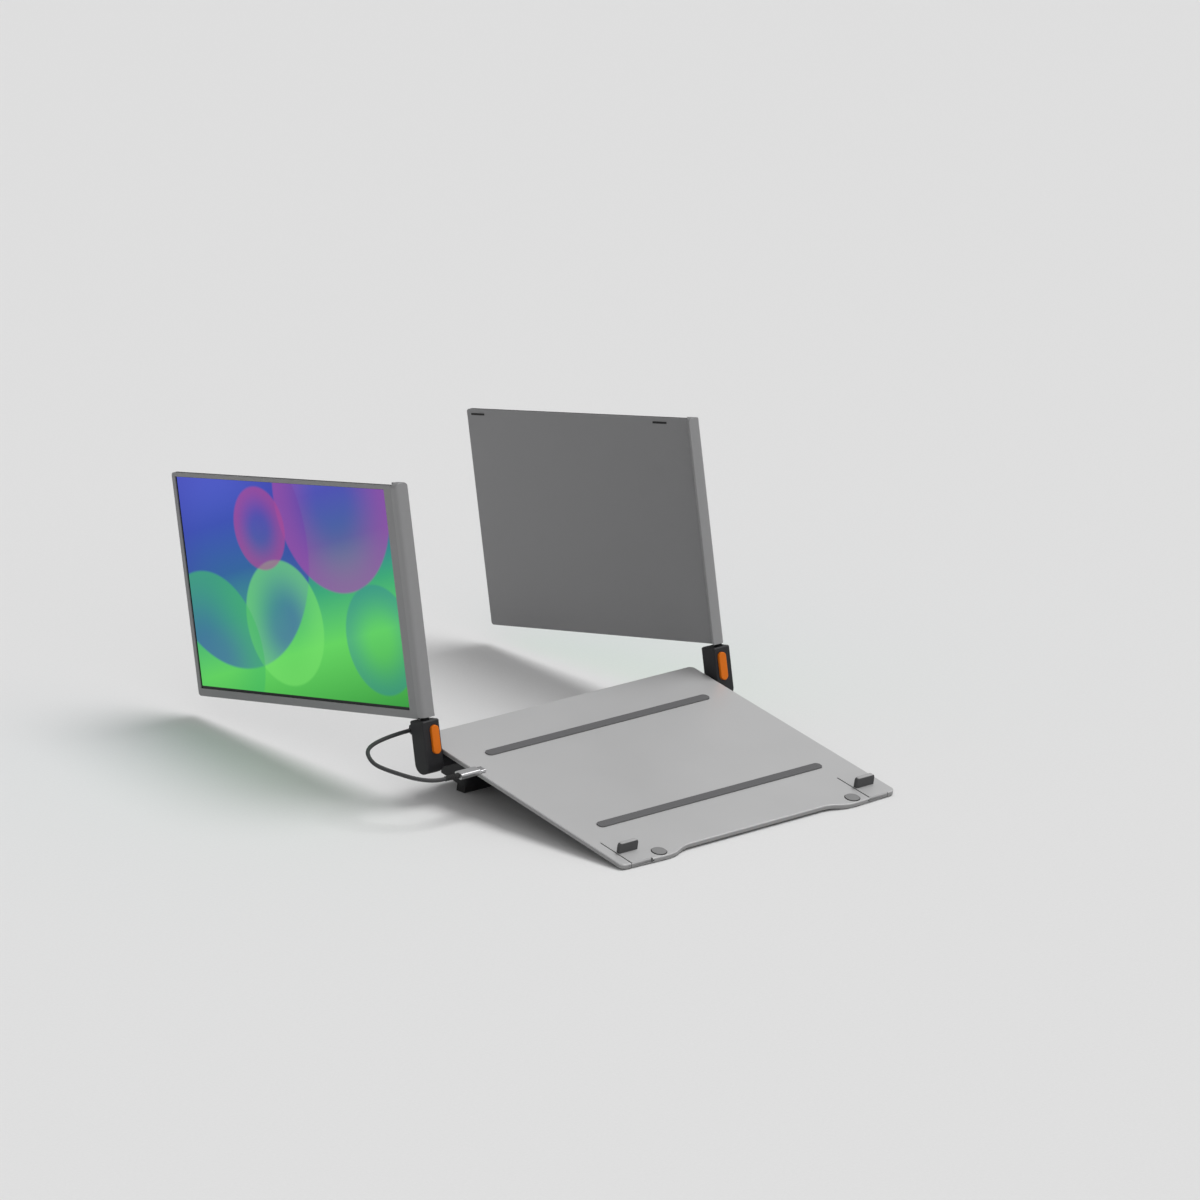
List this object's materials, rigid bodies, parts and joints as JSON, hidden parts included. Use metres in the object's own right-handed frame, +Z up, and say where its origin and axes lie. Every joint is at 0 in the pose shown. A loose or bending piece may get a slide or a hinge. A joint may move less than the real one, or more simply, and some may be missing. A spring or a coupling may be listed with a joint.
{
  "type": "dual-screen portable monitor",
  "caption": "Sloping tray on a riser, with portable screens that swivel on leaning spines at its rear corners, tilting hinge blocks with release buttons, and sliding front stops.",
  "frame": {"origin": "on the desk, under the middle of the rear foot", "axes": "+X to the user's right, +Y to the rear, +Z up; the screens are swung straight back"},
  "size_m": [0.4069, 0.5994, 0.2758],
  "materials": {
    "deck_grey": "fine bead-blasted, anodised grey",
    "base_steel": "powder coated",
    "charcoal_plastic": "fine moulded texture",
    "screen_grey": "satin grey, fine texture",
    "spine_grey": "anodised grey, satin",
    "frame_black": "matt black",
    "panel_glass": "smooth, lit from behind",
    "button_orange": "satin",
    "dark_rubber": "matt",
    "grey_rubber": "matt",
    "black_rubber": "matt",
    "shaft_steel": "ground",
    "beam_aluminium": "as extruded",
    "board_green": "coated circuit board",
    "cable_rubber": "satin jacket",
    "plug_silver": "satin anodised"
  },
  "bodies": {
    "tray": {"tray_deck": "deck_grey", "base_plate": "base_steel", "grip_strips": "dark_rubber", "front_bumpers": "grey_rubber", "front_feet": "black_rubber", "riser_housing": "charcoal_plastic", "riser_cover": "charcoal_plastic", "riser_screws": "shaft_steel", "rear_foot": "black_rubber", "hinge_beam": "beam_aluminium", "cable": "cable_rubber", "plug_relief": "black_rubber", "plug_shell": "plug_silver", "plug_tip": "shaft_steel", "left_tilt_shaft": "shaft_steel", "left_hinge_sleeve": "charcoal_plastic", "right_tilt_shaft": "shaft_steel", "right_hinge_sleeve": "charcoal_plastic"},
    "left_stop": {"left_stop_slide": "deck_grey", "left_stop_sleeve": "dark_rubber"},
    "left_block": {"left_block_shell": "charcoal_plastic", "left_block_cover": "charcoal_plastic", "left_swivel_bush": "frame_black", "left_button_spring": "shaft_steel", "cable_gland": "charcoal_plastic"},
    "left_button": {"left_release_button": "button_orange"},
    "left_screen": {"left_spine": "spine_grey", "left_spine_cap": "spine_grey", "left_swivel_shaft": "shaft_steel", "left_swivel_washer": "frame_black", "left_front_bezel": "screen_grey", "left_edge_frame": "frame_black", "left_rear_cover": "screen_grey", "left_rear_rests": "black_rubber", "left_display_panel": "panel_glass", "left_driver_board": "board_green"},
    "right_stop": {"right_stop_slide": "deck_grey", "right_stop_sleeve": "dark_rubber"},
    "right_block": {"right_block_shell": "charcoal_plastic", "right_block_cover": "charcoal_plastic", "right_swivel_bush": "frame_black", "right_button_spring": "shaft_steel"},
    "right_button": {"right_release_button": "button_orange"},
    "right_screen": {"right_spine": "spine_grey", "right_spine_cap": "spine_grey", "right_swivel_shaft": "shaft_steel", "right_swivel_washer": "frame_black", "right_front_bezel": "screen_grey", "right_edge_frame": "frame_black", "right_rear_cover": "screen_grey", "right_rear_rests": "black_rubber", "right_display_panel": "panel_glass", "right_driver_board": "board_green"}
  },
  "joints": [
    {"name": "left_stop_slide", "type": "slide", "parent": "tray", "child": "left_stop", "axis": [0, -0.9848, -0.1736], "range_m": [0, 0.025]},
    {"name": "left_tilt", "type": "hinge", "parent": "tray", "child": "left_block", "pos_m": [-0.1655, -0.00549, 0.03586], "axis": [1, 0, 0], "range_deg": [-3, 45], "deforming": ["cable"]},
    {"name": "left_button_press", "type": "slide", "parent": "left_block", "child": "left_button", "axis": [0, 0.9848, -0.1736], "range_m": [0, 0.0008], "stiffness_N_per_m": 3000, "springref_m": -0.0006, "deforming": ["left_button_spring"]},
    {"name": "left_swivel", "type": "hinge", "parent": "left_block", "child": "left_screen", "pos_m": [-0.1655, -0.00154, 0.07324], "axis": [0, 0.1736, 0.9848], "range_deg": [-25, 110]},
    {"name": "right_stop_slide", "type": "slide", "parent": "tray", "child": "right_stop", "axis": [0, -0.9848, -0.1736], "range_m": [0, 0.025]},
    {"name": "right_tilt", "type": "hinge", "parent": "tray", "child": "right_block", "pos_m": [0.1655, -0.00549, 0.03586], "axis": [1, 0, 0], "range_deg": [-3, 45]},
    {"name": "right_button_press", "type": "slide", "parent": "right_block", "child": "right_button", "axis": [0, 0.9848, -0.1736], "range_m": [0, 0.0008], "stiffness_N_per_m": 3000, "springref_m": -0.0006, "deforming": ["right_button_spring"]},
    {"name": "right_swivel", "type": "hinge", "parent": "right_block", "child": "right_screen", "pos_m": [0.1655, -0.00154, 0.07324], "axis": [0, -0.1736, -0.9848], "range_deg": [-25, 110]}
  ]
}
